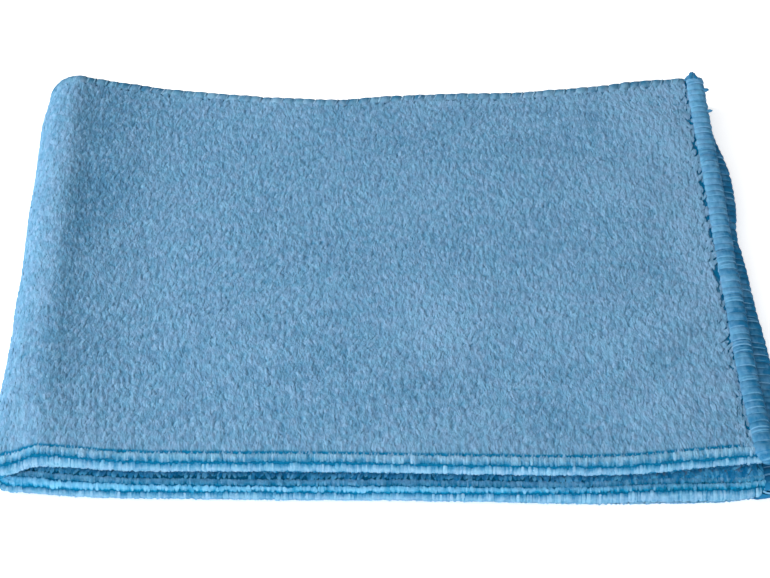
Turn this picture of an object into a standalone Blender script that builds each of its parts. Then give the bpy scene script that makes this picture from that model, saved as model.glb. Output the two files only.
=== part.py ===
"""A square microfibre cleaning cloth, folded twice into a pad of a quarter of its size.

The cloth is one closed sheet. Its flat form is a slab of two skins joined round the rim, and
every point of that slab is then carried to its folded place:

  first fold   the back half is brought over the front half, so the fold line is the front edge;
  second fold  the doubled cloth is brought over from right to left, so that fold is the left side.

That gives four layers. The outer layers are the top and the bottom one, the inner layers are the
two between them. Flat places are given by two distances on the cloth:

  across   from the second fold line, positive on the upper pair, negative on the lower pair;
  along    from the first fold line, positive on the outer layers, negative on the inner ones.

Sizes and tables are in millimetres. The mesh is in metres, +Z up, with X to the right and Y to
the back.
"""

from collections import namedtuple

import bmesh
import bpy
import numpy as np

MM = 0.001
QUARTER_TURN = np.pi / 2

# Driving sizes
SIDE = 400.0            # the cloth before folding, square
LAYER = 2.5             # one layer with the pile on both of its faces
HEM = 5.0               # width of the overlocked edge
HEM_LAYER = 1.8         # thickness there, where the thread holds the pile down
HEM_STEP = 1.0          # width over which the pile gives way to the hem
SLIT = 0.5              # air between the two layers of a pair
SLIP_REACH = 60.0       # the layers of a pair slip past each other over this way from the front
MOUTH = 1.2             # air between the upper and the lower pair
LOWER_FRONT = 2.6       # how far the lower pair's front stands before the upper one

# Worked out from them
HALF = SIDE / 2
PAIR = LAYER + SLIT / 2                 # from a pair's middle to its outside
FRONT_RADIUS = (LAYER + SLIT) / 2       # of the first fold, at the middle of the sheet
LEFT_RADIUS = PAIR + MOUTH / 2          # of the second fold, at the middle of a pair
FOLD_REACH = LEFT_RADIUS + PAIR         # of the second fold, to its outside
FRONT_BEND = QUARTER_TURN * FRONT_RADIUS
LEFT_BEND = QUARTER_TURN * (LEFT_RADIUS + FRONT_RADIUS)

# Grid of the slab on each side of a fold: steps round the bend, then close ones where the cloth
# still curves, then wide ones to the hem
GridSteps = namedtuple("GridSteps", "bend bend_steps close close_steps wide_steps")
LEFT_GRID = GridSteps(LEFT_BEND, 8, 20.0, 8, 9)
FRONT_GRID = GridSteps(FRONT_BEND, 5, 24.0, 5, 9)

# How far each front fold stands forward of a straight line, by place from the left
FrontRow = namedtuple("FrontRow", "across upper lower")
FRONT_LINE = [
    FrontRow(0, 0.0, -4.8),
    FrontRow(6, -0.2, -4.0),
    FrontRow(12, -1.3, -3.5),
    FrontRow(20, -1.3, -2.4),
    FrontRow(29, -0.8, -1.7),
    FrontRow(54, -0.2, -1.1),
    FrontRow(80, 0.0, -0.5),
    FrontRow(105, 0.6, -0.4),
    FrontRow(130, 1.2, 0.4),
    FrontRow(155, 1.5, 1.3),
    FrontRow(170, 0.4, 0.8),
    FrontRow(180, -1.2, 0.6),
    FrontRow(190, -2.7, -0.1),
    FrontRow(200, -4.0, -2.7),
]

# How far the back edges are drawn forward, by place from the left
BackRow = namedtuple("BackRow", "across drawn_in")
BACK_LINE = [
    BackRow(0, 1.5),
    BackRow(8, 1.6),
    BackRow(14, 1.2),
    BackRow(20, 1.4),
    BackRow(32, 2.5),
    BackRow(45, 4.0),
    BackRow(62, 6.8),
    BackRow(74, 8.0),
    BackRow(86, 8.9),
    BackRow(100, 7.0),
    BackRow(112, 5.7),
    BackRow(124, 5.0),
    BackRow(140, 4.4),
    BackRow(155, 2.2),
    BackRow(168, -0.2),
    BackRow(180, -3.4),
    BackRow(191, -4.4),
    BackRow(200, -4.8),
]

# How far the left fold bulges to the left, by depth from the front
LeftRow = namedtuple("LeftRow", "depth bulge")
LEFT_LINE = [
    LeftRow(0, -0.8),
    LeftRow(25, -1.1),
    LeftRow(50, -1.5),
    LeftRow(65, -1.4),
    LeftRow(80, -0.9),
    LeftRow(95, -0.9),
    LeftRow(111, -0.3),
    LeftRow(127, 0.3),
    LeftRow(144, 0.5),
    LeftRow(160, 0.9),
    LeftRow(180, 1.5),
    LeftRow(200, 0.5),
]

# How far the right edges of the outer and the inner layers are pushed out, by depth from the front
RightRow = namedtuple("RightRow", "depth outer inner")
RIGHT_LINE = [
    RightRow(0, -2.2, 0.6),
    RightRow(20, -1.8, 0.8),
    RightRow(40, -1.1, 0.2),
    RightRow(60, -0.4, -0.8),
    RightRow(80, -0.2, -1.7),
    RightRow(98, -0.3, -2.1),
    RightRow(114, -0.2, -2.9),
    RightRow(130, 0.0, -1.6),
    RightRow(155, 0.0, -2.0),
    RightRow(168, 0.0, -3.7),
    RightRow(182, 0.0, -5.0),
    RightRow(200, 0.0, -6.5),
]

# The roll that the springy left fold makes: its height over the stack, where its top is from the
# left, and how wide its left side is, by depth from the front
RollRow = namedtuple("RollRow", "depth height centre width")
LEFT_ROLL = [
    RollRow(0, 0.0, 10.5, 9.5),
    RollRow(14, 0.8, 10.5, 8.8),
    RollRow(30, 1.4, 10.3, 8.2),
    RollRow(60, 1.7, 10.0, 7.6),
    RollRow(130, 2.1, 9.4, 7.0),
    RollRow(200, 2.4, 8.6, 6.6),
]
ROLL_STEEP = 0.75       # width of the roll's steep right side against its left side
ROLL_TAIL = 15.0        # reach of the gentle slope after it
ROLL_TAIL_SHARE = 0.42  # share of the roll's height that this slope has

# Soft ridges and troughs in the whole stack, each from one point to another
Crease = namedtuple("Crease", "x1 y1 x2 y2 width height")
CREASES = [
    Crease(160, 32, 186, 66, 8.0, 0.55),
    Crease(172, 20, 196, 50, 7.0, 0.45),
    Crease(168, 38, 188, 60, 5.0, -0.45),
    Crease(118, 76, 106, 44, 14.0, 0.35),
    Crease(172, 88, 180, 108, 8.0, -0.40),
    Crease(150, 168, 172, 158, 9.0, -0.40),
    Crease(184, 172, 194, 150, 8.0, 0.40),
    Crease(14, 150, 26, 120, 9.0, -0.35),
    Crease(38, 120, 84, 96, 16.0, 0.30),
    Crease(60, 60, 96, 30, 18.0, 0.30),
    Crease(194, 202, 200, 200, 9.0, 0.90),
]

REST_SAG = 0.10         # share of its height that the stack loses past the left roll
BACK_SAG = 0.06         # more of it lost towards the back edge
RIGHT_SAG = 0.06        # more of it lost towards the hems at the right
FRONT_LIFT = 1.2        # how far the upper pair's front springs up
FRONT_LIFT_REACH = 22.0
CORNER_LIFT = 0.8       # more of it at the right end
LEFT_PINCH = 1.0        # the left end is pressed down on the lower pair instead

CLOTH_COLOUR = (0.14, 0.31, 0.50, 1.0)
CLOTH_ROUGHNESS = 0.95


def clear_scene():
    """Remove every object of the scene."""
    for old in list(bpy.data.objects):
        bpy.data.objects.remove(old, do_unlink=True)


def ease(share):
    """0 to 1 with level ends."""
    share = np.clip(share, 0.0, 1.0)
    return share * share * (3.0 - 2.0 * share)


def column(rows, place, value, at):
    """Smooth curve through one column of a table, read at the given places."""
    known = np.array([getattr(row, place) for row in rows], dtype=float)
    heights = np.array([getattr(row, value) for row in rows], dtype=float)
    slopes = np.gradient(heights, known)
    at = np.clip(at, known[0], known[-1])
    left = np.clip(np.searchsorted(known, at, side="right") - 1, 0, len(known) - 2)
    gap = known[left + 1] - known[left]
    part = (at - known[left]) / gap
    rise = heights[left + 1] - heights[left]
    blend = ease(part)
    lean_in = part * (1 - part) ** 2 * gap * slopes[left]
    lean_out = part ** 2 * (part - 1) * gap * slopes[left + 1]
    return heights[left] + rise * blend + lean_in + lean_out


def sheet_thickness(across, along):
    """Thickness of the flat cloth: full in the pile, less in the hem."""
    from_edge = HALF - np.maximum(np.abs(across), np.abs(along))
    return HEM_LAYER + (LAYER - HEM_LAYER) * ease((from_edge - HEM) / HEM_STEP + 1.0)


def fold(across, along, lift):
    """Carry points of the flat cloth round both folds, as two true bends.

    lift is the height over the middle of the sheet, towards the face that ends up outside.
    Returns x from the left side, y from the front, z from below, how much of the upper pair a
    point is (1 there, 0 in the lower pair) and how much of an inner layer.
    """
    front_angle = np.clip(along / FRONT_RADIUS, -QUARTER_TURN, QUARTER_TURN)
    radius = FRONT_RADIUS + lift
    y = PAIR - radius * np.cos(front_angle) + np.maximum(np.abs(along) - FRONT_BEND, 0.0)
    off_pair = radius * np.sin(front_angle)
    sheet_off_pair = FRONT_RADIUS * np.sin(front_angle)

    slipped = ease((np.abs(along) - FRONT_BEND) / SLIP_REACH)
    bend_radius = LEFT_RADIUS + sheet_off_pair * slipped
    left_angle = np.clip(across / bend_radius, -QUARTER_TURN, QUARTER_TURN)
    radius = LEFT_RADIUS + off_pair
    past_bend = np.maximum(np.abs(across) - QUARTER_TURN * bend_radius, 0.0)
    x = FOLD_REACH - radius * np.cos(left_angle) + past_bend
    z = FOLD_REACH + radius * np.sin(left_angle)

    upper = (np.sin(left_angle) + 1.0) / 2.0
    inner = (1.0 - np.sin(front_angle)) / 2.0
    return x, y, z, upper, inner


def crease_height(x, y):
    """Sum of the soft ridges and troughs at a point seen from above."""
    total = np.zeros_like(x)
    for row in CREASES:
        run_x, run_y = row.x2 - row.x1, row.y2 - row.y1
        share = ((x - row.x1) * run_x + (y - row.y1) * run_y) / (run_x ** 2 + run_y ** 2)
        share = np.clip(share, 0.0, 1.0)
        off = np.hypot(x - row.x1 - share * run_x, y - row.y1 - share * run_y)
        total += row.height * np.exp(-(off / row.width) ** 2)
    return total


def settle(x, y, z, upper, inner):
    """Turn the ruler-straight fold into the cloth as it lies: outline, sag and roll."""
    depth = np.clip(y / HALF, 0.0, 1.0)

    lost = REST_SAG * ease((x - 12.0) / 30.0)
    lost = lost + BACK_SAG * depth * ease((x - 12.0) / 40.0)
    lost = lost + RIGHT_SAG * ease((x - 170.0) / 30.0)
    height = z * (1.0 - lost + crease_height(x, y) / (2 * FOLD_REACH))

    mouth = FRONT_LIFT + CORNER_LIFT * ease((x - 160.0) / 40.0)
    sprung = ease((x - 6.0) / 8.5)
    mouth = mouth * sprung - LEFT_PINCH * (1.0 - sprung)
    mouth = mouth * np.exp(-y / FRONT_LIFT_REACH)
    centre = column(LEFT_ROLL, "depth", "centre", y)
    width = column(LEFT_ROLL, "depth", "width", y)
    off_crest = x - centre
    steep = np.exp(-(off_crest / (ROLL_STEEP * width)) ** 2)
    gentle = np.exp(-(off_crest / ROLL_TAIL) ** 2)
    right_side = (1.0 - ROLL_TAIL_SHARE) * steep + ROLL_TAIL_SHARE * gentle
    profile = np.where(off_crest < 0.0, np.exp(-(off_crest / width) ** 2), right_side)
    roll = column(LEFT_ROLL, "depth", "height", y) * profile
    height = height + upper * (mouth + roll)

    forward_upper = column(FRONT_LINE, "across", "upper", x)
    forward_lower = column(FRONT_LINE, "across", "lower", x) + LOWER_FRONT
    forward = upper * forward_upper + (1.0 - upper) * forward_lower
    drawn_in = column(BACK_LINE, "across", "drawn_in", x)
    moved_y = y - forward * (1.0 - depth) ** 1.5 - drawn_in * depth ** 1.5

    bulge = column(LEFT_LINE, "depth", "bulge", y) * (1.0 - ease(x / 60.0))
    pushed_outer = (1.0 - inner) * column(RIGHT_LINE, "depth", "outer", y)
    pushed_inner = inner * column(RIGHT_LINE, "depth", "inner", y)
    pushed = (pushed_outer + pushed_inner) * ease(x / HALF)
    return x - bulge + pushed, moved_y, height


def grid_lines(steps):
    """Flat distances of the slab's grid lines on both sides of a fold line."""
    bend = np.linspace(0.0, steps.bend, steps.bend_steps + 1)
    close = steps.bend + np.linspace(0.0, steps.close, steps.close_steps + 1)
    wide = np.linspace(close[-1], HALF - HEM, steps.wide_steps + 1)
    side = np.concatenate([bend, close[1:], wide[1:], [HALF - HEM + HEM_STEP, HALF]])
    return np.concatenate([-side[:0:-1], side])


def slab(across_lines, along_lines):
    """The flat cloth as a closed slab, with whole numbers for its grid places."""
    wide, deep = len(across_lines) - 1, len(along_lines) - 1
    bm = bmesh.new()
    bmesh.ops.create_grid(bm, x_segments=wide, y_segments=deep, size=0.5)
    lower_skin = bm.faces[:]
    extruded = bmesh.ops.extrude_face_region(bm, geom=lower_skin, use_keep_orig=True)
    for item in extruded["geom"]:
        if isinstance(item, bmesh.types.BMVert):
            item.co.z = 1.0
    for vert in bm.verts:
        vert.co.x = round((vert.co.x + 0.5) * wide)
        vert.co.y = round((vert.co.y + 0.5) * deep)
    return bm


def make_cloth():
    """Fold the slab, and stand it with its flat underside on z = 0 under the middle."""
    across_lines = grid_lines(LEFT_GRID)
    along_lines = grid_lines(FRONT_GRID)
    bm = slab(across_lines, along_lines)

    grid = np.array([vert.co[:] for vert in bm.verts])
    across = across_lines[grid[:, 0].astype(int)]
    along = along_lines[grid[:, 1].astype(int)]
    lift = (grid[:, 2] - 0.5) * sheet_thickness(across, along)
    under = (across < 0.0) & (along > 0.0)
    lift = np.where(under, lift + (LAYER - sheet_thickness(across, along)) / 2, lift)
    places = np.stack(settle(*fold(across, along, lift)), axis=-1)

    middle = (places.max(axis=0) + places.min(axis=0)) / 2
    middle[2] = places[:, 2].min()
    places = np.round(places - middle, 5) * MM
    for vert, place in zip(bm.verts, places):
        vert.co = place
    bmesh.ops.recalc_face_normals(bm, faces=bm.faces[:])

    mesh = bpy.data.meshes.new("cloth")
    bm.to_mesh(mesh)
    bm.free()
    mesh.shade_smooth()
    cloth = bpy.data.objects.new("cloth", mesh)
    bpy.context.scene.collection.objects.link(cloth)
    return cloth


def microfibre():
    """Matt blue knitted microfibre."""
    material = bpy.data.materials.new("microfibre")
    material.use_nodes = True
    shader = material.node_tree.nodes["Principled BSDF"]
    shader.inputs["Base Color"].default_value = CLOTH_COLOUR
    shader.inputs["Roughness"].default_value = CLOTH_ROUGHNESS
    shader.inputs["Metallic"].default_value = 0.0
    return material


clear_scene()
cloth_object = make_cloth()
cloth_object.data.materials.append(microfibre())
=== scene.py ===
"""The look of a microfibre cloth folded in four: knitted ground, looped pile, overlocked hem.

The cloth's shape comes from the same two folds as in the CAD model. Flat places are given by
two distances on the cloth, in millimetres:

  across   from the second fold line, positive on the upper pair, negative on the lower pair;
  along    from the first fold line, positive on the outer layers, negative on the inner ones.

Folding turns them, with a lift over the middle of the sheet, into places in the frame. The
pile's loops and the hem's threads are laid out on the flat cloth and carried along.
"""

import math
from collections import namedtuple

import bpy
import numpy as np
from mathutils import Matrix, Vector


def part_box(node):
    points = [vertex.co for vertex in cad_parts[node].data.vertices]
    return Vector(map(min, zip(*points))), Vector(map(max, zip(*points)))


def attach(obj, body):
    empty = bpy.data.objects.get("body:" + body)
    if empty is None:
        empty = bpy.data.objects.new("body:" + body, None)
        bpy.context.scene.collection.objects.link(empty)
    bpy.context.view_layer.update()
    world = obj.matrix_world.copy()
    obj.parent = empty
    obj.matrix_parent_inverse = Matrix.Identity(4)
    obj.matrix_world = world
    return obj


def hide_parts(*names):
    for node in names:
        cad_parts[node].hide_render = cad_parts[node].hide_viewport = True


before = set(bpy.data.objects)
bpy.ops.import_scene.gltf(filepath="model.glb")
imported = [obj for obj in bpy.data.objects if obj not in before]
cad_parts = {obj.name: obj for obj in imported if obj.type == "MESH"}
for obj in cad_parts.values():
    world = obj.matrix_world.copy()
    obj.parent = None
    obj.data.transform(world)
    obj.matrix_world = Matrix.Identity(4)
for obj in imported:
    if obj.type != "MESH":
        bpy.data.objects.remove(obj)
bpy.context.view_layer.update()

MM = 0.001
QUARTER_TURN = np.pi / 2

# The cloth, in millimetres: the same sizes as in the CAD model
SIDE = 400.0            # before folding, square
LAYER = 2.5             # one layer with the pile on both of its faces
HEM = 5.0               # width of the overlocked edge
BACK_HEM = 3.6          # what the combed pile leaves open of the back hem
SLIT = 0.5              # air between the two layers of a pair
SLIP_REACH = 60.0       # the layers of a pair slip past each other over this way from the front
MOUTH = 1.2             # air between the upper and the lower pair
LOWER_FRONT = 2.6       # how far the lower pair's front stands before the upper one

HALF = SIDE / 2
PAIR = LAYER + SLIT / 2
FRONT_RADIUS = (LAYER + SLIT) / 2
LEFT_RADIUS = PAIR + MOUTH / 2
FOLD_REACH = LEFT_RADIUS + PAIR
FRONT_BEND = QUARTER_TURN * FRONT_RADIUS
LEFT_BEND = QUARTER_TURN * (LEFT_RADIUS + FRONT_RADIUS)

# How far each front fold stands forward of a straight line, by place from the left
FrontRow = namedtuple("FrontRow", "across upper lower")
FRONT_LINE = [
    FrontRow(0, 0.0, -4.8),
    FrontRow(6, -0.2, -4.0),
    FrontRow(12, -1.3, -3.5),
    FrontRow(20, -1.3, -2.4),
    FrontRow(29, -0.8, -1.7),
    FrontRow(54, -0.2, -1.1),
    FrontRow(80, 0.0, -0.5),
    FrontRow(105, 0.6, -0.4),
    FrontRow(130, 1.2, 0.4),
    FrontRow(155, 1.5, 1.3),
    FrontRow(170, 0.4, 0.8),
    FrontRow(180, -1.2, 0.6),
    FrontRow(190, -2.7, -0.1),
    FrontRow(200, -4.0, -2.7),
]

# How far the back edges are drawn forward, by place from the left
BackRow = namedtuple("BackRow", "across drawn_in")
BACK_LINE = [
    BackRow(0, 1.5),
    BackRow(8, 1.6),
    BackRow(14, 1.2),
    BackRow(20, 1.4),
    BackRow(32, 2.5),
    BackRow(45, 4.0),
    BackRow(62, 6.8),
    BackRow(74, 8.0),
    BackRow(86, 8.9),
    BackRow(100, 7.0),
    BackRow(112, 5.7),
    BackRow(124, 5.0),
    BackRow(140, 4.4),
    BackRow(155, 2.2),
    BackRow(168, -0.2),
    BackRow(180, -3.4),
    BackRow(191, -4.4),
    BackRow(200, -4.8),
]

# How far the left fold bulges to the left, by depth from the front
LeftRow = namedtuple("LeftRow", "depth bulge")
LEFT_LINE = [
    LeftRow(0, -0.8),
    LeftRow(25, -1.1),
    LeftRow(50, -1.5),
    LeftRow(65, -1.4),
    LeftRow(80, -0.9),
    LeftRow(95, -0.9),
    LeftRow(111, -0.3),
    LeftRow(127, 0.3),
    LeftRow(144, 0.5),
    LeftRow(160, 0.9),
    LeftRow(180, 1.5),
    LeftRow(200, 0.5),
]

# How far the right edges of the outer and the inner layers are pushed out, by depth
RightRow = namedtuple("RightRow", "depth outer inner")
RIGHT_LINE = [
    RightRow(0, -2.2, 0.6),
    RightRow(20, -1.8, 0.8),
    RightRow(40, -1.1, 0.2),
    RightRow(60, -0.4, -0.8),
    RightRow(80, -0.2, -1.7),
    RightRow(98, -0.3, -2.1),
    RightRow(114, -0.2, -2.9),
    RightRow(130, 0.0, -1.6),
    RightRow(155, 0.0, -2.0),
    RightRow(168, 0.0, -3.7),
    RightRow(182, 0.0, -5.0),
    RightRow(200, 0.0, -6.5),
]

# The roll of the left fold: height over the stack, top and left width, by depth
RollRow = namedtuple("RollRow", "depth height centre width")
LEFT_ROLL = [
    RollRow(0, 0.0, 10.5, 9.5),
    RollRow(14, 0.8, 10.5, 8.8),
    RollRow(30, 1.4, 10.3, 8.2),
    RollRow(60, 1.7, 10.0, 7.6),
    RollRow(130, 2.1, 9.4, 7.0),
    RollRow(200, 2.4, 8.6, 6.6),
]
ROLL_STEEP = 0.75        # width of the roll's steep right side against its left side
ROLL_TAIL = 15.0         # reach of the gentle slope after it
ROLL_TAIL_SHARE = 0.42   # share of the roll's height that this slope has

# Soft ridges and troughs in the whole stack, each from one point to another
Crease = namedtuple("Crease", "x1 y1 x2 y2 width height")
CREASES = [
    Crease(160, 32, 186, 66, 8.0, 0.55),
    Crease(172, 20, 196, 50, 7.0, 0.45),
    Crease(168, 38, 188, 60, 5.0, -0.45),
    Crease(118, 76, 106, 44, 14.0, 0.35),
    Crease(172, 88, 180, 108, 8.0, -0.40),
    Crease(150, 168, 172, 158, 9.0, -0.40),
    Crease(184, 172, 194, 150, 8.0, 0.40),
    Crease(14, 150, 26, 120, 9.0, -0.35),
    Crease(38, 120, 84, 96, 16.0, 0.30),
    Crease(60, 60, 96, 30, 18.0, 0.30),
    Crease(194, 202, 200, 200, 9.0, 0.90),
]

REST_SAG = 0.10          # share of its height that the stack loses past the left roll
BACK_SAG = 0.06          # more of it lost towards the back edge
RIGHT_SAG = 0.06         # more of it lost towards the hems at the right
FRONT_LIFT = 1.2         # how far the upper pair's front springs up
FRONT_LIFT_REACH = 22.0
CORNER_LIFT = 0.8        # more of it at the right end
LEFT_PINCH = 1.0         # the left end is pressed down on the lower pair instead

# The make of the cloth, in millimetres
GROUND = 1.8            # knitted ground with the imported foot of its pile
NOSE_GROUND = 0.9       # where the pile opens round a fold line
HEM_GROUND = 0.6        # pressed together under the hem's thread
ROW = 1.75              # from one row of pile to the next
WALE = 0.72             # from one tuft to the next in its row
PARTING = 0.15          # half the gap between two ribs of pile
PILE_AT_HEM = 0.50      # share of the tufts that the hem's stitching leaves standing beside it
STITCH = 3.3            # length of an overlock stitch
HEM_CROWN = 1.0         # how far the padded hem stands over the middle of the sheet
PRESSED = 0.70          # share of it left where the two hems of a pair press on each other
BESIDE_HEM = 1.6        # width of the strip of pile that the stitching thins

# A tuft of pile, and a thicker one for the underside, where fewer are needed
TuftSize = namedtuple("TuftSize", "length width thickness rise")
TUFT = TuftSize(3.2, 1.18, 0.34, 0.38)
UNDER_TUFT = TuftSize(4.2, 2.3, 0.34, 0.42)
UNDER_PITCH = (1.9, 2.8)

# A tuft in the ribs round the front folds
RIB_PITCH = 0.46
RIB_HALF_WIDTH = 0.44
RIB_HALF_THICK = 0.34
RIB_HEIGHT = 0.88
PAINTED_MOUTH_SHADE = 0.5        # painted shade: how much darker the ribs on the roof of the mouth are made, under the upper pair's lip

# The hem's two threads: the wide one is fluffed out, the thin one lies between
WIDE_THREAD = 2.05       # half of its width
WIDE_THICK = 0.48        # half of its thickness
THIN_THREAD = 0.26
THIN_THICK = 0.18
THIN_OVER = 0.40         # how far the thin thread stands over the wide one's middle

# Relief of the nap in its materials
NAP_BUMP = 0.9
NAP_RELIEF = 0.0009      # metres

EDGE = HALF - HEM
BACK_EDGE = HALF - 5.2   # the pile is combed over the back hem
FLOOR_GAP = 0.02

SEED = 7


def ease(share):
    """0 to 1 with level ends."""
    share = np.clip(share, 0.0, 1.0)
    return share * share * (3.0 - 2.0 * share)


def column(rows, place, value, at):
    """Smooth curve through one column of a table, read at the given places."""
    known = np.array([getattr(row, place) for row in rows], dtype=float)
    heights = np.array([getattr(row, value) for row in rows], dtype=float)
    slopes = np.gradient(heights, known)
    at = np.clip(at, known[0], known[-1])
    left = np.clip(np.searchsorted(known, at, side="right") - 1, 0, len(known) - 2)
    gap = known[left + 1] - known[left]
    part = (at - known[left]) / gap
    rise = heights[left + 1] - heights[left]
    blend = ease(part)
    lean_in = part * (1 - part) ** 2 * gap * slopes[left]
    lean_out = part ** 2 * (part - 1) * gap * slopes[left + 1]
    return heights[left] + rise * blend + lean_in + lean_out


def fold(across, along, lift):
    """Carry points of the flat cloth round both folds, as two true bends."""
    front_angle = np.clip(along / FRONT_RADIUS, -QUARTER_TURN, QUARTER_TURN)
    radius = FRONT_RADIUS + lift
    y = PAIR - radius * np.cos(front_angle) + np.maximum(np.abs(along) - FRONT_BEND, 0.0)
    off_pair = radius * np.sin(front_angle)
    sheet_off_pair = FRONT_RADIUS * np.sin(front_angle)

    slipped = ease((np.abs(along) - FRONT_BEND) / SLIP_REACH)
    bend_radius = LEFT_RADIUS + sheet_off_pair * slipped
    left_angle = np.clip(across / bend_radius, -QUARTER_TURN, QUARTER_TURN)
    radius = LEFT_RADIUS + off_pair
    past_bend = np.maximum(np.abs(across) - QUARTER_TURN * bend_radius, 0.0)
    x = FOLD_REACH - radius * np.cos(left_angle) + past_bend
    z = FOLD_REACH + radius * np.sin(left_angle)

    upper = (np.sin(left_angle) + 1.0) / 2.0
    inner = (1.0 - np.sin(front_angle)) / 2.0
    return x, y, z, upper, inner


def crease_height(x, y):
    """Sum of the soft ridges and troughs at a point seen from above."""
    total = np.zeros_like(x)
    for row in CREASES:
        run_x, run_y = row.x2 - row.x1, row.y2 - row.y1
        share = ((x - row.x1) * run_x + (y - row.y1) * run_y) / (run_x ** 2 + run_y ** 2)
        share = np.clip(share, 0.0, 1.0)
        off = np.hypot(x - row.x1 - share * run_x, y - row.y1 - share * run_y)
        total += row.height * np.exp(-(off / row.width) ** 2)
    return total


def settle(x, y, z, upper, inner):
    """Turn the ruler-straight fold into the cloth as it lies: outline, sag and roll."""
    depth = np.clip(y / HALF, 0.0, 1.0)

    lost = REST_SAG * ease((x - 12.0) / 30.0)
    lost = lost + BACK_SAG * depth * ease((x - 12.0) / 40.0)
    lost = lost + RIGHT_SAG * ease((x - 170.0) / 30.0)
    height = z * (1.0 - lost + crease_height(x, y) / (2 * FOLD_REACH))

    mouth = FRONT_LIFT + CORNER_LIFT * ease((x - 160.0) / 40.0)
    sprung = ease((x - 6.0) / 8.5)
    mouth = mouth * sprung - LEFT_PINCH * (1.0 - sprung)
    mouth = mouth * np.exp(-y / FRONT_LIFT_REACH)
    centre = column(LEFT_ROLL, "depth", "centre", y)
    width = column(LEFT_ROLL, "depth", "width", y)
    off_crest = x - centre
    steep = np.exp(-(off_crest / (ROLL_STEEP * width)) ** 2)
    gentle = np.exp(-(off_crest / ROLL_TAIL) ** 2)
    right_side = (1.0 - ROLL_TAIL_SHARE) * steep + ROLL_TAIL_SHARE * gentle
    profile = np.where(off_crest < 0.0, np.exp(-(off_crest / width) ** 2), right_side)
    roll = column(LEFT_ROLL, "depth", "height", y) * profile
    height = height + upper * (mouth + roll)

    forward_upper = column(FRONT_LINE, "across", "upper", x)
    forward_lower = column(FRONT_LINE, "across", "lower", x) + LOWER_FRONT
    forward = upper * forward_upper + (1.0 - upper) * forward_lower
    drawn_in = column(BACK_LINE, "across", "drawn_in", x)
    moved_y = y - forward * (1.0 - depth) ** 1.5 - drawn_in * depth ** 1.5

    bulge = column(LEFT_LINE, "depth", "bulge", y) * (1.0 - ease(x / 60.0))
    pushed_outer = (1.0 - inner) * column(RIGHT_LINE, "depth", "outer", y)
    pushed_inner = inner * column(RIGHT_LINE, "depth", "inner", y)
    pushed = (pushed_outer + pushed_inner) * ease(x / HALF)
    return x - bulge + pushed, moved_y, height


def unplaced(across, along, lift):
    """Folded places in millimetres, before they are moved into the frame."""
    across, along, lift = np.broadcast_arrays(across, along, lift)
    return np.stack(settle(*fold(across, along, lift)), axis=-1)


def frame_offset():
    """What moves the folded cloth onto the CAD cloth: box middle to box middle, on the floor."""
    line = np.linspace(-HALF, HALF, 401)
    across, along = np.meshgrid(line, line)
    skins = [unplaced(across, along, side * LAYER / 2).reshape(-1, 3) for side in (-1.0, 1.0)]
    points = np.concatenate(skins)
    own = (points.max(axis=0) + points.min(axis=0)) / 2
    low, high = (np.array(corner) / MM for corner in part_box("cloth"))
    offset = (low + high) / 2 - own
    offset[2] = low[2] - points[:, 2].min()
    return offset


OFFSET = frame_offset()


def place(across, along, lift):
    """Folded places of flat ones, in millimetres in the frame."""
    return unplaced(across, along, lift) + OFFSET


def unit(vectors):
    """Vectors of the same directions and of length 1."""
    return vectors / np.maximum(np.linalg.norm(vectors, axis=-1, keepdims=True), 1e-9)


def mesh_object(name, points, faces, tones, flat_places=None, strand=None, normals=None):
    """A smooth mesh from arrays: points in millimetres, faces, and tone and UV place by point."""
    points = points.copy()
    points[:, 2] = np.maximum(points[:, 2], FLOOR_GAP)
    mesh = bpy.data.meshes.new(name)
    sides = faces.shape[1]
    mesh.vertices.add(len(points))
    mesh.vertices.foreach_set("co", (points * MM).astype(np.float32).ravel())
    mesh.loops.add(faces.size)
    mesh.loops.foreach_set("vertex_index", faces.astype(np.int32).ravel())
    mesh.polygons.add(len(faces))
    mesh.polygons.foreach_set("loop_start", np.arange(0, faces.size, sides, dtype=np.int32))
    mesh.polygons.foreach_set("loop_total", np.full(len(faces), sides, dtype=np.int32))
    mesh.update(calc_edges=True)
    mesh.shade_smooth()
    layer = mesh.attributes.new("tone", "FLOAT", "POINT")
    layer.data.foreach_set("value", tones.astype(np.float32).ravel())
    if strand is not None:
        layer = mesh.attributes.new("strand", "FLOAT", "POINT")
        layer.data.foreach_set("value", strand.astype(np.float32).ravel())
    if flat_places is not None:
        uv = mesh.uv_layers.new(name="OFBake")
        uv.data.foreach_set("uv", flat_places[faces.ravel()].astype(np.float32).ravel())
    if normals is not None:
        mesh.normals_split_custom_set_from_vertices(normals)
    made = bpy.data.objects.new(name, mesh)
    bpy.context.scene.collection.objects.link(made)
    return made


# ---------------------------------------------------------------- ground

def spaced(low, high, step):
    """Even places from low to high, about a step apart."""
    return np.linspace(low, high, max(2, int(round((high - low) / step)) + 1))


def ground_lines(bend, bend_step, near, near_step, far_step):
    """Grid lines of the ground on both sides of a fold line."""
    side = np.concatenate([
        spaced(0.0, bend, bend_step),
        spaced(bend, bend + near, near_step)[1:],
        spaced(bend + near, HALF - HEM, far_step)[1:],
        spaced(HALF - HEM, HALF - 0.6, 1.2)[1:],
    ])
    return np.concatenate([-side[:0:-1], side])


def ground_thickness(across, along):
    """Thin under the hem and round the front fold line, full under the rest of the pile."""
    inside_hem = np.minimum(HALF - np.abs(across) - HEM, HALF - np.abs(along) - BACK_HEM)
    from_fold = np.where(along > 0.0, along - 3.6, -along - 5.6)
    middle = NOSE_GROUND + (GROUND - NOSE_GROUND) * ease(from_fold / 1.2)
    return HEM_GROUND + (middle - HEM_GROUND) * ease(inside_hem / 1.6)


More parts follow.
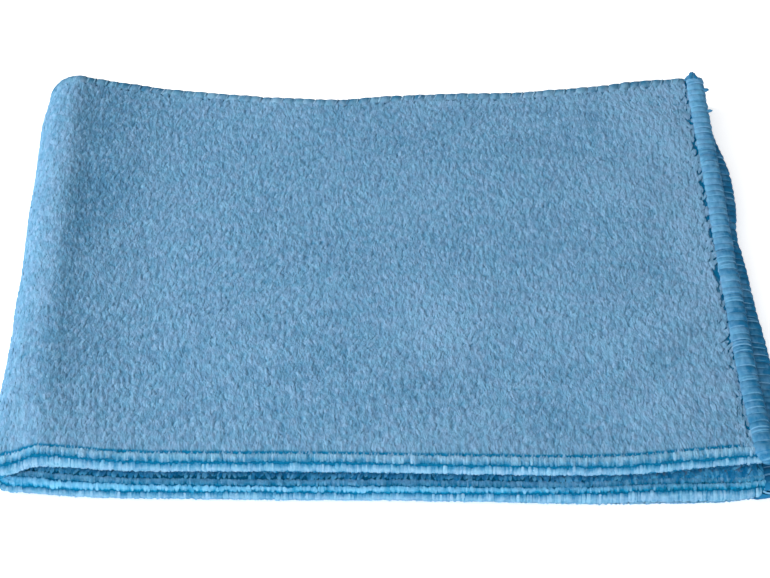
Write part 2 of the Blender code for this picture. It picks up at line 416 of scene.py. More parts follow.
def make_ground():
    """The knitted ground as one closed sheet, with its flat places as its UV map."""
    across = ground_lines(LEFT_BEND, 0.9, 22.0, 1.6, 4.0)
    along = ground_lines(FRONT_BEND, 0.35, 22.0, 1.0, 4.0)
    wide, deep = len(across), len(along)
    flat_across, flat_along = np.meshgrid(across, along)
    thick = ground_thickness(flat_across, flat_along)

    points = np.concatenate([
        place(flat_across, flat_along, side * thick / 2).reshape(-1, 3) for side in (-1.0, 1.0)
    ])
    number = np.arange(wide * deep).reshape(deep, wide)
    corners = [number[:-1, :-1], number[:-1, 1:], number[1:, 1:], number[1:, :-1]]
    skin = np.stack(corners, axis=-1).reshape(-1, 4)
    count = wide * deep
    rim = np.concatenate([number[0, :-1], number[:-1, -1], number[-1, :0:-1], number[:0:-1, 0]])
    rim_next = np.roll(rim, -1)
    wall = np.stack([rim, rim_next, rim_next + count, rim + count], axis=-1)
    faces = np.concatenate([skin[:, ::-1], skin + count, wall])

    share = np.stack([flat_across, flat_along], axis=-1).reshape(-1, 2) / SIDE + 0.5
    half_map = [0.49, 0.98]
    maps = np.concatenate([share * half_map + 0.005, share * half_map + [0.505, 0.005]])
    # painted shade: the ground darkens where it thins round the front fold and shows between the ribs
    tones = 0.85 - 1.15 * ease(3.0 * (GROUND - thick) / (GROUND - NOSE_GROUND))
    return mesh_object("cloth_ground", points, faces, np.tile(tones.ravel(), 2), maps)


# ---------------------------------------------------------------- tufts and threads

def outwards(across, along, lift):
    """The settled cloth's own direction outwards at flat places."""
    reach = 0.4
    over = place(across + reach, along, lift) - place(across - reach, along, lift)
    back = place(across, along + reach, lift) - place(across, along - reach, lift)
    return unit(np.cross(over, back))


def softened(facing, up, softness):
    """Normals turned towards the nap's own, as fine fibres blur the shape under them."""
    turned = unit(facing * (1.0 - softness) + up * softness)
    hidden = np.sum(facing * up, axis=-1, keepdims=True) < -0.5
    return np.where(hidden, facing, turned)


def laid(name, paths, half_width, half_thick, tones, sides, maps=None, strand=None, softness=0.0,
         beside=None):
    """Closed strands laid along flat paths and carried round the folds.

    paths is (strands, steps, 3): across, along and lift of each strand's middle line, whose first
    and last steps are its closed ends. The half sizes are (strands, steps). beside is the flat
    step (across, along) of the strands' breadth, for those that go round an edge of the cloth.
    """
    count, steps = paths.shape[:2]
    across, along, lift = paths[..., 0], paths[..., 1], paths[..., 2]
    middle = place(across, along, lift)
    ways = np.gradient(middle, axis=1)
    ways = unit(ways)
    if beside is None:
        up = outwards(across, along, lift)
        breadth = unit(np.cross(ways, up))
        top = np.cross(breadth, ways)
    else:
        ahead = place(across + beside[0], along + beside[1], lift)
        breadth = unit(ahead - place(across - beside[0], along - beside[1], lift))
        top = unit(np.cross(breadth, ways))
        up = top

    rings = steps - 2
    size = 2 + rings * sides
    points = np.empty((count, size, 3))
    points[:, 0] = middle[:, 0]
    points[:, -1] = middle[:, -1]
    normals = np.empty((count, size, 3))
    normals[:, 0] = softened(-ways[:, 0], up[:, 0], softness)
    normals[:, -1] = softened(ways[:, -1], up[:, -1], softness)
    turn = strand_turns(sides)
    for ring in range(rings):
        step = ring + 1
        for number, angle in enumerate(turn):
            offset = breadth[:, step] * (np.cos(angle) * half_width[:, step])[:, None]
            offset = offset + top[:, step] * (np.sin(angle) * half_thick[:, step])[:, None]
            points[:, 1 + ring * sides + number] = middle[:, step] + offset
            facing = breadth[:, step] * np.cos(angle) + top[:, step] * np.sin(angle)
            normals[:, 1 + ring * sides + number] = softened(facing, up[:, step], softness)

    faces = []
    for number in range(sides):
        following = (number + 1) % sides
        faces.append([0, 1 + number, 1 + following])
        for ring in range(rings - 1):
            here, there = 1 + ring * sides, 1 + (ring + 1) * sides
            faces.append([here + number, there + number, here + following])
            faces.append([here + following, there + number, there + following])
        last = 1 + (rings - 1) * sides
        faces.append([size - 1, last + following, last + number])
    faces = np.array(faces)
    faces = (faces[None] + size * np.arange(count)[:, None, None]).reshape(-1, 3)

    if tones.ndim == 1:
        tones = np.repeat(tones[:, None], steps, axis=1)
    by_point = np.concatenate([
        tones[:, :1], np.repeat(tones[:, 1:-1], sides, axis=1), tones[:, -1:]
    ], axis=1)
    if strand is not None:
        round_strand = np.broadcast_to(
            np.concatenate([[0.0], np.tile(np.cos(turn), rings), [0.0]]), (count, size)
        )
        strand = strand[:, None] + round_strand * np.max(half_width, axis=1)[:, None]
    if maps is not None:
        maps = maps(across, along, sides)
    return mesh_object(
        name, points.reshape(-1, 3), faces, by_point, maps, strand, normals.reshape(-1, 3)
    )


def strand_turns(sides):
    """Angles of a strand's corners: a three-sided one has its ridge on top."""
    turned = np.pi / 2 if sides == 3 else 0.0
    return turned + np.arange(sides) * 2.0 * np.pi / sides


def flat_map(low, high, breadth_share):
    """UV places inside 0 to 1 over one flat area, with some width across each strand."""
    def maps(across, along, sides):
        """UV places of all the points of strands laid along these flat places."""
        turn = strand_turns(sides)
        inner_u = across[:, 1:-1, None] + np.cos(turn) * breadth_share
        inner_v = np.repeat(along[:, 1:-1, None], sides, axis=2) + np.sin(turn) * 0.1
        u = np.concatenate([across[:, :1], inner_u.reshape(len(across), -1), across[:, -1:]], axis=1)
        v = np.concatenate([along[:, :1], inner_v.reshape(len(along), -1), along[:, -1:]], axis=1)
        u = (u - low[0]) / (high[0] - low[0])
        v = (v - low[1]) / (high[1] - low[1])
        return np.clip(np.stack([u, v], axis=-1), 0.0, 1.0).reshape(-1, 2)
    return maps


# Painted light and shade on the top: patches where the pile's tone is made lighter or darker as the light
# falls on its creases and its left roll, in millimetres from the left fold and the front
PaintedLightPatch = namedtuple("PaintedLightPatch", "x y reach_x reach_y tone")
PAINTED_LIGHT_PATCHES = [
    PaintedLightPatch(182, 178, 13, 24, 0.45),
    PaintedLightPatch(187, 120, 6, 36, 0.30),
    PaintedLightPatch(15, 150, 6, 70, -0.25),
    PaintedLightPatch(22, 130, 9, 60, -0.18),
    PaintedLightPatch(114, 192, 8, 10, 0.25),
    PaintedLightPatch(130, 190, 6, 8, 0.20),
    PaintedLightPatch(153, 104, 10, 10, -0.20),
    PaintedLightPatch(177, 90, 5, 8, -0.25),
    PaintedLightPatch(116, 62, 9, 16, 0.25),
    PaintedLightPatch(166, 134, 8, 8, 0.20),
    PaintedLightPatch(160, 50, 9, 9, 0.20),
    PaintedLightPatch(176, 40, 6, 12, -0.15),
    PaintedLightPatch(142, 20, 8, 9, -0.28),
    PaintedLightPatch(110, 30, 6, 8, -0.20),
    PaintedLightPatch(186, 16, 8, 8, -0.22),
    PaintedLightPatch(60, 72, 16, 26, 0.15),
    PaintedLightPatch(96, 26, 6, 12, -0.15),
    PaintedLightPatch(48, 45, 3, 5, -0.30),
    PaintedLightPatch(190, 110, 26, 120, 0.12),
    PaintedLightPatch(176, 196, 14, 10, 0.26),
    PaintedLightPatch(178, 177, 8, 8, 0.12),
    PaintedLightPatch(112, 194, 10, 8, 0.18),
    PaintedLightPatch(148, 196, 12, 6, 0.14),
    PaintedLightPatch(164, 177, 4, 8, -0.35),
    PaintedLightPatch(155, 133, 20, 11, 0.18),
    PaintedLightPatch(188, 90, 6, 14, 0.26),
    PaintedLightPatch(188, 155, 5, 14, 0.22),
    PaintedLightPatch(178, 118, 8, 10, 0.12),
    PaintedLightPatch(140, 100, 8, 12, -0.16),
    PaintedLightPatch(116, 66, 9, 14, 0.20),
    PaintedLightPatch(150, 70, 8, 8, 0.14),
    PaintedLightPatch(121, 53, 6, 8, 0.18),
    PaintedLightPatch(184, 34, 8, 8, 0.22),
    PaintedLightPatch(177, 20, 6, 8, 0.32),
    PaintedLightPatch(110, 32, 6, 8, -0.22),
    PaintedLightPatch(142, 18, 8, 8, -0.12),
    PaintedLightPatch(8.5, 90, 3, 110, 0.26),
    PaintedLightPatch(15, 95, 3, 28, -0.30),
    PaintedLightPatch(21, 145, 6, 50, -0.15),
]


def painted_light_tone(x, y):
    """How much painted light or shade the pile gets at a place on the top."""
    total = np.zeros_like(x)
    for row in PAINTED_LIGHT_PATCHES:
        off = ((x - row.x) / row.reach_x) ** 2 + ((y - row.y) / row.reach_y) ** 2
        total += row.tone * np.exp(-off)
    return total


def wander(x, y, reach, turn):
    """A slow wave over the cloth, about -1 to 1, the same each run."""
    return (
        np.sin(x / reach + turn) * np.cos(y / (reach * 1.3) - turn * 0.7)
        + 0.6 * np.sin((x + y) / (reach * 0.7) + turn * 2.1)
        + 0.5 * np.cos((x * 0.6 - y) / (reach * 0.45) - turn)
    ) / 1.6


def make_pile(name, low, high, pitch, sizes, tone, spread, seed):
    """Tufts on the outer face between two flat corners, in rows, combed towards the back.

    low and high are (across, along); pitch is (from tuft to tuft, from row to row); sizes is a
    TuftSize; tone is how light it is, and spread how much that differs from tuft to tuft.
    """
    rng = np.random.default_rng(seed)
    tufts = int((high[0] - low[0]) / pitch[0])
    rows = int((high[1] - low[1]) / pitch[1])
    tuft_number, row_number = np.meshgrid(np.arange(tufts), np.arange(rows))
    across = low[0] + (tuft_number + 0.5 + 0.5 * (row_number % 2)) * (high[0] - low[0]) / tufts
    along = low[1] + (row_number + 0.3) * (high[1] - low[1]) / rows
    across, along = across.ravel(), along.ravel()
    count = len(across)

    from_front = ease((np.abs(along) - 4.0) / 8.0)
    from_left = ease((np.abs(across) - 11.0) / 10.0)
    loose = (0.35 + 0.65 * from_front) * (0.55 + 0.45 * from_left)
    across = across + rng.normal(0.0, 0.16, count) * loose
    along = along + rng.normal(0.0, 0.5, count) * np.maximum(loose, 0.7)
    kept = rng.uniform(0.0, 1.0, count) < np.where(EDGE - across < BESIDE_HEM, PILE_AT_HEM, 1.0)
    across, along = across[kept], along[kept]
    from_front, from_left = from_front[kept], from_left[kept]
    count = len(across)

    comb = np.radians(8.0) + np.radians(10.0) * wander(across, along, 19.0, 1.3)
    comb = comb + np.radians(10.0) * wander(across, along, 5.3, 2.6)
    comb = comb + rng.normal(0.0, np.radians(11.0), count)
    comb = comb * (0.4 + 0.6 * from_front) * (0.35 + 0.65 * from_left)
    length = sizes.length * (1.0 + rng.normal(0.0, 0.16, count))
    uneven = 1.0 + rng.normal(0.0, 0.13, count) + 0.1 * wander(across, along, 3.1, 0.4)
    height = sizes.rise * uneven

    foot = ground_thickness(across, along) / 2
    share = np.array([-0.12, 0.28, 0.74, 1.0])
    rise = np.array([-0.10, 0.80, 1.0, 0.62])
    run = share[None] * length[:, None]
    paths = np.stack([
        across[:, None] + run * np.sin(comb)[:, None],
        along[:, None] + run * np.cos(comb)[:, None],
        foot[:, None] - sizes.thickness / 2 + rise[None] * height[:, None],
    ], axis=-1)
    broad = sizes.width / 2 * (1.0 + rng.normal(0.0, 0.12, (count, 1)))
    half_width = broad * np.array([0, 1.0, 0.9, 0])
    half_thick = sizes.thickness / 2 * np.ones((count, 1)) * np.array([0, 1.0, 0.85, 0])
    spot = unplaced(across, along, foot)
    on_top = (across > 0.0) & (along > 0.0)
    tones = tone + spread * rng.exponential(0.9, count)
    # painted light and shade on the top's pile
    tones = tones + on_top * painted_light_tone(spot[:, 0], spot[:, 1])
    maps = flat_map(low, (high[0] + 1.0, high[1] + length.max()), 0.3)
    return laid(name, paths, half_width, half_thick, tones, 3, maps, softness=0.80)


# Where the pile parts into ribs round the front fold: places along, by place across
RibRow = namedtuple("RibRow", "across crease upper middle lower inner")
RIBS = [
    RibRow(-200, 3.3, 1.0, -1.8, -4.0, -6.4),
    RibRow(-165, 3.3, 1.0, -1.7, -3.85, -6.3),
    RibRow(-145, 3.4, 1.3, -1.3, -2.7, -5.3),
    RibRow(-110, 3.4, 1.5, -0.75, -2.2, -4.9),
    RibRow(-70, 3.5, 1.5, -0.8, -2.0, -4.7),
    RibRow(-35, 3.5, 1.6, -0.55, -2.1, -4.6),
    RibRow(0, 3.8, 1.4, -0.8, -2.8, -5.0),
    RibRow(10, 3.9, 1.2, -1.9, -3.6, -5.6),
    RibRow(30, 3.9, 1.05, -1.9, -3.6, -5.6),
    RibRow(60, 3.9, 1.05, -1.5, -3.4, -5.6),
    RibRow(120, 3.9, 1.0, -1.4, -3.4, -5.6),
    RibRow(165, 3.9, 0.8, -1.4, -3.4, -5.6),
    RibRow(200, 3.9, 0.7, -1.4, -3.4, -5.6),
]


def upright(paths):
    """Strands round the front fold moved so that each stays over one place from the left."""
    x = unplaced(paths[..., 0], paths[..., 1], paths[..., 2])[..., 0]
    drift = x - x.mean(axis=1, keepdims=True)
    off_fold = ease((np.abs(paths[..., 0]) - LEFT_BEND) / 12.0)
    moved = paths.copy()
    moved[..., 0] -= np.sign(paths[..., 0]) * off_fold * drift
    return moved


def parting_shade(name, across):
    """How much painted shade a parting puts on the ends of the ribs beside it; the one next to the floor
    gets painted light from the floor instead.
    """
    if name in ("lower", "inner"):
        return 0.6 * np.ones_like(across)
    return np.where((across < 0.0) & (name == "upper"), -0.2, 1.0)


def make_ribs(name, partings, seed):
    """The front folds' ropes of tufts: each rib lies between two of the partings."""
    rng = np.random.default_rng(seed)
    count = int(2 * EDGE / RIB_PITCH)
    share = np.array([0.0, 0.1, 0.36, 0.64, 0.9, 1.0])
    rise = np.sqrt(np.maximum(1.0 - np.abs(2.0 * share - 1.0) ** 2, 0.0))
    all_paths, all_tones, widths = [], [], []
    for first, second in zip(partings[:-1], partings[1:]):
        across = -EDGE + (np.arange(count) + 0.5) * (2 * EDGE / count)
        across = across + rng.normal(0.0, 0.11, count)
        start = column(RIBS, "across", first, across)
        end = column(RIBS, "across", second, across)
        start = start + 0.14 * wander(across, across, 2.7, 0.3) + rng.normal(0.0, 0.16, count)
        end = end + 0.14 * wander(across, across, 2.7, 0.3) + rng.normal(0.0, 0.16, count)
        slant = rng.normal(0.0, 0.12, (count, 1))
        start = start - PARTING
        end = end + PARTING
        bumpy = 0.10 * wander(across, across * 0.3, 0.75, 1.1) + rng.normal(0.0, 0.07, count)
        height = RIB_HEIGHT * (1.0 + bumpy[:, None])
        paths = np.stack([
            across[:, None] + slant * (share - 0.5),
            start[:, None] + (end - start)[:, None] * share,
            NOSE_GROUND / 2 - 0.35 + height * rise[None],
        ], axis=-1)
        all_paths.append(upright(paths))
        own = 0.42 + 1.4 * bumpy + 0.26 * rng.exponential(0.9, count)
        # painted shade on the ribs under the upper pair's lip
        own = own - PAINTED_MOUTH_SHADE * ((across > 0.0) & (first in ("middle", "lower")))
        # painted shade on the rib ends at the partings, painted light at the one by the floor
        shade_at_start = parting_shade(first, across)[:, None] * np.array([-1.0, -0.75, 0.1, 0, 0, 0])
        shade_at_end = parting_shade(second, across)[:, None] * np.array([0, 0, 0, 0.1, -0.75, -1.0])
        all_tones.append(own[:, None] + shade_at_start + shade_at_end)
        broad = RIB_HALF_WIDTH * (1.0 + rng.normal(0.0, 0.14, (count, 1)))
        widths.append(broad * np.array([0, 0.8, 1, 1, 0.8, 0]))
    paths = np.concatenate(all_paths)
    half_width = np.concatenate(widths)
    half_thick = RIB_HALF_THICK * np.ones((len(paths), 1)) * np.array([0, 0.75, 1, 1, 0.75, 0])
    maps = flat_map((-EDGE - 1.0, -7.5), (EDGE + 1.0, 4.6), 0.3)
    return laid(
        name, paths, half_width, half_thick, np.concatenate(all_tones), 4, maps, softness=0.72
    )


# ---------------------------------------------------------------- hem

def stitch_places(fold_reach, stretch):
    """Places of the stitches along an edge, closer where a fold spreads the edge open."""
    places = [0.0]
    while places[-1] < HALF:
        opened = stretch if places[-1] < fold_reach else 1.0
        places.append(places[-1] + STITCH / opened)
    side = np.array(places[:-1])
    return np.concatenate([-side[:0:-1], side])


def make_hem(name, edge, fold_reach, stretch, reach, width, tone, uneven, knots, seed):
    """Overlock thread wound round one edge: a fluffed-out strand a stitch, a thin one between.

    edge is the flat direction that the edge ends, with its side; fold_reach and stretch say where
    a fold crosses the hem and how much it opens; reach is how far the hem runs each way; width is
    how far in from the edge the thread goes; tone is how light it is; uneven is how far a
    stitch strays from its place; knots is how thick the thread's knots on the edge are.
    """
    rng = np.random.default_rng(seed)
    axis, sign = edge
    stitches = stitch_places(fold_reach, stretch)
    stitches = stitches[np.abs(stitches) < reach]
    count = len(stitches)
    stitches = stitches + rng.normal(0.0, uneven, count)

    bow = np.radians([165, 150, 125, 100, 75, 50, 25, 0])
    bow = np.concatenate([bow, -bow[-2::-1]])
    steps = len(bow)
    half_band = width / 2 + 0.1
    from_edge = half_band * (1.0 - np.cos(bow))
    swell = np.abs(np.sin(bow)) ** 0.8 * np.sign(bow)
    travel = np.linspace(-1.0, 1.0, steps)

    def strand_paths(at, crown, drift):
        """Middle lines of strands that bow round the edge, flatter on the side of the pair's other hem."""
        lift = crown[:, None] * np.where(swell < 0.0, PRESSED * swell, swell)[None]
        place_on_edge = at[:, None] + drift[:, None] * (1.0 - travel[None] ** 2)
        inward = np.broadcast_to(sign * (HALF - from_edge), lift.shape)
        if axis == "across":
            return np.stack([inward, place_on_edge, lift], axis=-1)
        return np.stack([place_on_edge, inward, lift], axis=-1)

    closed = np.ones(steps)
    closed[[0, -1]] = 0.0
    crown = HEM_CROWN * (1.0 + rng.normal(0.0, 0.06, count))
    wide = strand_paths(stitches, crown, rng.normal(0.4, 0.2, count))
    wide_width = WIDE_THREAD * (1.0 + rng.normal(0.0, 0.06, (count, 1))) * closed
    wide_thick = WIDE_THICK * (1.0 + rng.normal(0.0, 0.14, (count, 1))) * closed
    # painted shade: the wide strand darkens towards the outer edge, where the hem turns down away from the
    # light
    shade = tone - 0.55 * np.clip(1.0 - from_edge / width, 0.0, 1.0)
    backwards = np.zeros(count)
    if axis == "across":
        backwards = 0.66 * np.clip(stitches / HALF, 0.0, 1.0) - 0.22
    wide_tones = shade[None] + rng.normal(backwards, 0.10)[:, None]

    thin_at = np.concatenate([stitches + 0.30 * STITCH, stitches + 0.75 * STITCH])
    sunk = np.repeat([0.0, 0.12], count)
    knotted = np.repeat([knots, 0.6], count)
    whole = np.abs(thin_at + 1.2) < reach - 1.5
    thin_at, sunk, knotted = thin_at[whole], sunk[whole], knotted[whole, None]
    thin_count = len(thin_at)
    thin_crown = HEM_CROWN + THIN_OVER - sunk + rng.normal(0.0, 0.07, thin_count)
    thin = strand_paths(thin_at, thin_crown, 1.2 + rng.normal(0.0, 0.4, thin_count))
    knot = 1.0 + knotted * np.exp(-(travel / 0.12) ** 2)
    thin_width = THIN_THREAD * (1.0 + rng.normal(0.0, 0.2, (thin_count, 1))) * closed * knot
    thin_thick = THIN_THICK * np.ones((thin_count, 1)) * closed * knot
    # painted highlight: the thin thread is lighter where it knots on the outer edge
    thin_tones = 0.75 + 0.7 * np.exp(-(travel / 0.12) ** 2) + rng.normal(0.0, 0.3, (thin_count, 1))

    paths = np.concatenate([wide, thin])
    return laid(
        name, paths, np.concatenate([wide_width, thin_width]),
        np.concatenate([wide_thick, thin_thick]), np.concatenate([wide_tones, thin_tones]), 8,
        strand=np.concatenate([stitches, thin_at]), softness=0.5,
        beside=(0.0, -0.4 * sign) if axis == "across" else (0.4 * sign, 0.0),
    )


def make_tails(seed):
    """The cut end of the overlock thread: a peaked tuft on the back corner, and two loose loops."""
    rng = np.random.default_rng(seed)
    count = 14
    beside = np.linspace(-1.0, 1.0, count)
    share = np.array([0.0, 0.3, 0.6, 0.85, 1.0])
    length = 4.2 - 2.4 * np.abs(beside) + rng.normal(0.0, 0.2, count)
    start_across = HALF - 3.1 + 2.5 * beside
    end_across = HALF - 3.0 + 1.0 * beside + rng.normal(0.0, 0.25, count)
    start_along = HALF - 1.6 + rng.normal(0.0, 0.2, count)
    tuft = np.stack([
        start_across[:, None] + (end_across - start_across)[:, None] * share,
        start_along[:, None] + length[:, None] * share,
        0.9 + (1.5 - 1.0 * np.abs(beside))[:, None] * share + rng.uniform(-0.1, 0.1, (count, 1)),
    ], axis=-1)
    loop_along = np.array([HALF - 7.0, HALF - 19.0])
    loops = np.stack([
        HALF - 0.6 + 2.3 * share[None] * np.ones((2, 1)),
        loop_along[:, None] + 0.9 * share[None],
        0.3 + 0.3 * np.sin(np.pi * share)[None] * np.ones((2, 1)),
    ], axis=-1)
    paths = np.concatenate([tuft, loops])
    taper = np.array([0, 1.0, 0.9, 0.55, 0])
    half = 0.55 * (1.0 + rng.normal(0.0, 0.12, (count + 2, 1))) * taper
    tones = 0.35 + 0.2 * rng.normal(0.0, 1.0, count + 2)
    strand = paths[:, 0, 0] + paths[:, 0, 1]
    return laid("thread_tails", paths, half, half, tones, 6, strand=strand, softness=0.3)


# ---------------------------------------------------------------- materials

MaterialParts = namedtuple("MaterialParts", "material nodes links shader")


def shader_of(name, roughness, specular):
    """A new cloth material, with its nodes, its links and its Principled shader."""
    material = bpy.data.materials.new(name)
    material.use_nodes = True
    nodes = material.node_tree.nodes
    shader = nodes["Principled BSDF"]
    shader.inputs["Roughness"].default_value = roughness
    shader.inputs["Specular IOR Level"].default_value = specular
    return MaterialParts(material, nodes, material.node_tree.links, shader)


def toned(parts, dark, light):
    """Base colour from the tone of each thread, with soft patches and fine streaks over it."""
    nodes, links, shader = parts.nodes, parts.links, parts.shader
    tone = nodes.new("ShaderNodeAttribute")
    tone.attribute_name = "tone"
    coordinates = nodes.new("ShaderNodeTexCoord")
    patches = nodes.new("ShaderNodeTexNoise")
    patches.inputs["Scale"].default_value = 32.0
    patches.inputs["Detail"].default_value = 4.0
    patches.inputs["Roughness"].default_value = 0.68
    links.new(coordinates.outputs["Object"], patches.inputs["Vector"])
    stretched = nodes.new("ShaderNodeMapping")
    stretched.inputs["Rotation"].default_value = (0.0, 0.0, math.radians(-10.0))
    stretched.inputs["Scale"].default_value = (760.0, 320.0, 760.0)
    links.new(coordinates.outputs["Object"], stretched.inputs["Vector"])
    streaks = nodes.new("ShaderNodeTexNoise")
    streaks.inputs["Scale"].default_value = 1.0
    streaks.inputs["Detail"].default_value = 2.0
    links.new(stretched.outputs["Vector"], streaks.inputs["Vector"])
    patched = nodes.new("ShaderNodeMath")
    patched.operation = "MULTIPLY_ADD"
    patched.inputs[1].default_value = 0.95
    links.new(patches.outputs["Fac"], patched.inputs[0])
    links.new(tone.outputs["Fac"], patched.inputs[2])
    blend = nodes.new("ShaderNodeMath")
    blend.operation = "MULTIPLY_ADD"
    blend.inputs[1].default_value = 1.5
    links.new(streaks.outputs["Fac"], blend.inputs[0])
    links.new(patched.outputs[0], blend.inputs[2])
    ramp = nodes.new("ShaderNodeMapRange")
    ramp.inputs["From Min"].default_value = 1.10
    ramp.inputs["From Max"].default_value = 2.30
    links.new(blend.outputs[0], ramp.inputs["Value"])
    mix = nodes.new("ShaderNodeMix")
    mix.data_type = "RGBA"
    mix.inputs[6].default_value = dark
    mix.inputs[7].default_value = light
    links.new(ramp.outputs["Result"], mix.inputs[0])

    hues = nodes.new("ShaderNodeTexNoise")
    hues.inputs["Scale"].default_value = 330.0
    hues.inputs["Detail"].default_value = 1.0
    links.new(coordinates.outputs["Object"], hues.inputs["Vector"])
    spread = nodes.new("ShaderNodeMapRange")
    spread.inputs["From Min"].default_value = 0.35
    spread.inputs["From Max"].default_value = 0.65
    links.new(hues.outputs["Fac"], spread.inputs["Value"])
    tint = nodes.new("ShaderNodeMix")
    tint.data_type = "RGBA"
    tint.inputs[6].default_value = (0.93, 1.01, 1.0, 1.0)
    tint.inputs[7].default_value = (1.06, 0.99, 1.0, 1.0)
    links.new(spread.outputs["Result"], tint.inputs[0])
    tinted = nodes.new("ShaderNodeMix")
    tinted.data_type = "RGBA"
    tinted.blend_type = "MULTIPLY"
    tinted.inputs[0].default_value = 1.0
    links.new(mix.outputs[2], tinted.inputs[6])
    links.new(tint.outputs[2], tinted.inputs[7])
    links.new(tinted.outputs[2], shader.inputs["Base Color"])
    return streaks


def bumped(parts, streaks):
    """Relief of the nap: its light streaks stand higher than the dark ones."""
    nodes, links, shader = parts.nodes, parts.links, parts.shader
    bump = nodes.new("ShaderNodeBump")
    bump.inputs["Strength"].default_value = NAP_BUMP
    bump.inputs["Distance"].default_value = NAP_RELIEF
    links.new(streaks.outputs["Fac"], bump.inputs["Height"])
    links.new(bump.outputs["Normal"], shader.inputs["Normal"])


def stranded(parts):
    """Filaments that run the length of each hem strand."""
    nodes, links, shader = parts.nodes, parts.links, parts.shader
    strand = nodes.new("ShaderNodeAttribute")
    strand.attribute_name = "strand"
    lines = nodes.new("ShaderNodeTexNoise")
    lines.noise_dimensions = "1D"
    lines.inputs["Scale"].default_value = 5.0
    lines.inputs["Detail"].default_value = 3.0
    links.new(strand.outputs["Fac"], lines.inputs["W"])
    bump = nodes.new("ShaderNodeBump")
    bump.inputs["Strength"].default_value = 0.5
    bump.inputs["Distance"].default_value = 0.0002
    links.new(lines.outputs["Fac"], bump.inputs["Height"])
    links.new(bump.outputs["Normal"], shader.inputs["Normal"])


def napped(name, roughness, dark, light):
    """A material of nap: toned, with its streaks in relief."""
    parts = shader_of(name, roughness, 0.0)
    bumped(parts, toned(parts, dark, light))
    return parts.material


def threaded(name, roughness, specular, dark, light):
    """A material of thread: toned, with filaments along it."""
    parts = shader_of(name, roughness, specular)
    toned(parts, dark, light)
    stranded(parts)
    return parts.material


def painted_sheen_pile_material():
    """The nap of the top, the left side and the underside, its colour greyed by painted sheen."""
    return napped("microfibre_pile_painted_sheen", 0.85, (0.078, 0.218, 0.373, 1.0), (0.188, 0.367, 0.560, 1.0))


def rib_material():
    """The opened pile of the front folds."""
    return napped("microfibre_ribs", 0.85, (0.036, 0.205, 0.38, 1.0), (0.220, 0.435, 0.625, 1.0))


def painted_bounce_rib_material():
    """The same on the ribs that turn into the mouth, in a more saturated blue: painted bounce light
    between the folds.
    """
    return napped("microfibre_inside_painted_bounce", 0.85, (0.008, 0.235, 0.46, 1.0), (0.190, 0.50, 0.75, 1.0))


def painted_bounce_mouth_material():
    """The pile inside the mouth, in a brighter and more saturated blue: painted bounce light between the
    folds.
    """
    return napped("microfibre_mouth_painted_bounce", 0.85, (0.010, 0.25, 0.53, 1.0), (0.145, 0.56, 0.87, 1.0))


def ground_material():
    """The knitted ground, with painted shade where it shows between the ribs."""
    return napped("microfibre_ground", 0.9, (0.004, 0.14, 0.29, 1.0), (0.135, 0.305, 0.475, 1.0))


def thread_material():
    """The overlock thread of the right hems and of its cut end."""
    return threaded("hem_thread", 0.7, 0.05, (0.012, 0.145, 0.31, 1.0), (0.148, 0.375, 0.60, 1.0))


def combed_thread_material():
    """The same thread on the back hems, with the pile combed over it."""
    return threaded(
        "hem_thread_combed", 0.8, 0.0, (0.035, 0.155, 0.28, 1.0), (0.235, 0.42, 0.59, 1.0)
    )


# ---------------------------------------------------------------- cloth

ground = make_ground()
ground.data.materials.append(ground_material())

PileArea = namedtuple("PileArea", "name low high pitch sizes tone spread")
PILE = [
    PileArea("pile_top_left", (-9.0, 2.7), (58.0, BACK_EDGE), (WALE, ROW), TUFT, 0.36, 0.28),
    PileArea("pile_top_middle", (58.0, 2.7), (126.0, BACK_EDGE), (WALE, ROW), TUFT, 0.36, 0.28),
    PileArea("pile_top_right", (126.0, 2.7), (EDGE, BACK_EDGE), (WALE, ROW), TUFT, 0.36, 0.28),
    # painted shade: the pile inside the mouth gets lower tones than the top's
    PileArea("pile_mouth_floor", (-EDGE, -24.0), (-3.0, -6.2), (WALE, ROW), TUFT, -0.05, 0.60),
    PileArea("pile_mouth_roof", (3.0, -16.0), (EDGE, -5.6), (WALE, ROW), TUFT, -0.30, 0.40),
    PileArea("pile_under", (-EDGE, 3.4), (-9.0, BACK_EDGE), UNDER_PITCH, UNDER_TUFT, 0.32, 0.28),
]
painted_sheen_pile_look, rib_look = painted_sheen_pile_material(), rib_material()
painted_bounce_rib_look, painted_bounce_mouth_look = painted_bounce_rib_material(), painted_bounce_mouth_material()
partings = RibRow._fields[1:]
piles = [
    make_ribs("pile_outer_ribs", partings[:3], SEED + 10),
    make_ribs("pile_inner_ribs", partings[2:], SEED + 11),
]
LOOKS = {
    "pile_outer_ribs": rib_look,
    "pile_inner_ribs": painted_bounce_rib_look,
    "pile_mouth_floor": painted_bounce_mouth_look,
    "pile_mouth_roof": painted_bounce_mouth_look,
}
for number, area in enumerate(PILE):
    piles.append(make_pile(*area, SEED + number))
for pile in piles:
    pile.data.materials.append(LOOKS.get(pile.name, painted_sheen_pile_look))

HemRow = namedtuple("HemRow", "name edge fold_reach stretch reach width tone uneven knots")
HEMS = [
    HemRow("hem_right_upper", ("across", 1.0), 2.6, 1.8, HALF, HEM, 0.55, 0.25, 0.6),
    # painted shade: the lower pair's hem lies under the upper one and gets a low tone
    HemRow("hem_right_lower", ("across", -1.0), 2.6, 1.8, HALF, HEM, -0.35, 0.25, 0.6),
    HemRow("hem_back_outer", ("along", 1.0), 8.0, 1.25, EDGE, BACK_HEM, 0.48, 0.12, 1.7),
    HemRow("hem_back_inner", ("along", -1.0), 8.0, 1.25, EDGE, BACK_HEM, 0.50, 0.12, 1.7),
]
thread_look, combed_look = thread_material(), combed_thread_material()
hems = [make_tails(SEED + 30)]
for number, row in enumerate(HEMS):
    hems.append(make_hem(*row, SEED + 20 + number))
for hem in hems:
    hem.data.materials.append(combed_look if "back" in hem.name else thread_look)

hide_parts("cloth")
for piece in [ground] + piles + hems:
    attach(piece, "root")


# ---------------------------------------------------------------- studio

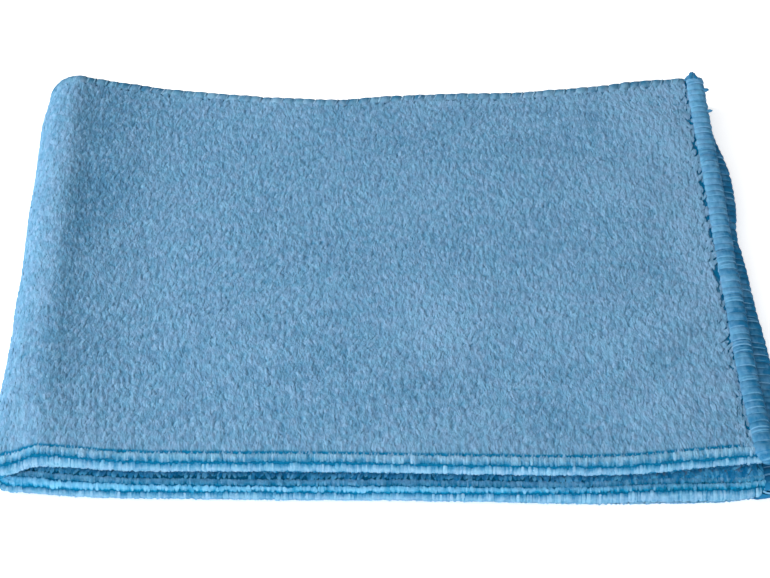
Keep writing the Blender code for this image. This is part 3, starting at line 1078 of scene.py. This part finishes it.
def make_floor():
    """A plain pale floor, wide enough that its edge isn't seen."""
    mesh = bpy.data.meshes.new("floor")
    half = 3.0
    corners = [(-half, -half, 0), (half, -half, 0), (half, half, 0), (-half, half, 0)]
    mesh.from_pydata(corners, [], [(0, 1, 2, 3)])
    floor = bpy.data.objects.new("floor", mesh)
    bpy.context.scene.collection.objects.link(floor)
    material = bpy.data.materials.new("floor")
    material.use_nodes = True
    shader = material.node_tree.nodes["Principled BSDF"]
    shader.inputs["Base Color"].default_value = (0.95, 0.95, 0.95, 1.0)
    shader.inputs["Roughness"].default_value = 0.9
    shader.inputs["Emission Color"].default_value = (1.0, 1.0, 1.0, 1.0)
    shader.inputs["Emission Strength"].default_value = 0.5
    mesh.materials.append(material)


def make_light(name, place_m, size, power, colour):
    """A round soft light that faces the cloth; place and size in metres."""
    data = bpy.data.lights.new(name, "AREA")
    data.shape = "DISK"
    data.size = size
    data.energy = power
    data.color = colour
    lamp = bpy.data.objects.new(name, data)
    lamp.location = place_m
    lamp.rotation_euler = (-Vector(place_m)).to_track_quat("-Z", "Y").to_euler()
    bpy.context.scene.collection.objects.link(lamp)


def make_world(strength):
    """White light from all round."""
    world = bpy.data.worlds.new("studio")
    world.use_nodes = True
    background = world.node_tree.nodes["Background"]
    background.inputs["Color"].default_value = (1.0, 1.0, 1.0, 1.0)
    background.inputs["Strength"].default_value = strength
    bpy.context.scene.world = world


def make_camera():
    """Long lens from the front, about a third of a right angle above the surface."""
    elevation = math.radians(32.14)
    distance = 0.8226
    aim = Vector(((101.32 + OFFSET[0]) * MM, (90.10 + OFFSET[1]) * MM, 6.0 * MM))
    back = Vector((0.0, -math.cos(elevation), math.sin(elevation)))
    data = bpy.data.cameras.new("camera")
    data.lens = 140.0
    data.sensor_width = 36.0
    data.clip_start = 0.05
    data.clip_end = 20.0
    camera = bpy.data.objects.new("camera", data)
    camera.location = aim + distance * back
    camera.rotation_euler = (-back).to_track_quat("-Z", "Y").to_euler()
    bpy.context.scene.collection.objects.link(camera)
    bpy.context.scene.camera = camera


make_floor()
make_world(0.30)
make_light("key", (-1.1, 0.05, 0.62), 0.7, 18.0, (1.0, 0.99, 0.97))
make_light("front", (-0.15, -1.25, 0.85), 0.8, 13.0, (1.0, 1.0, 1.0))
make_light("fill", (0.1, -1.5, 0.15), 0.8, 6.0, (1.0, 1.0, 1.0))
make_camera()
bpy.context.scene.view_settings.view_transform = "Standard"
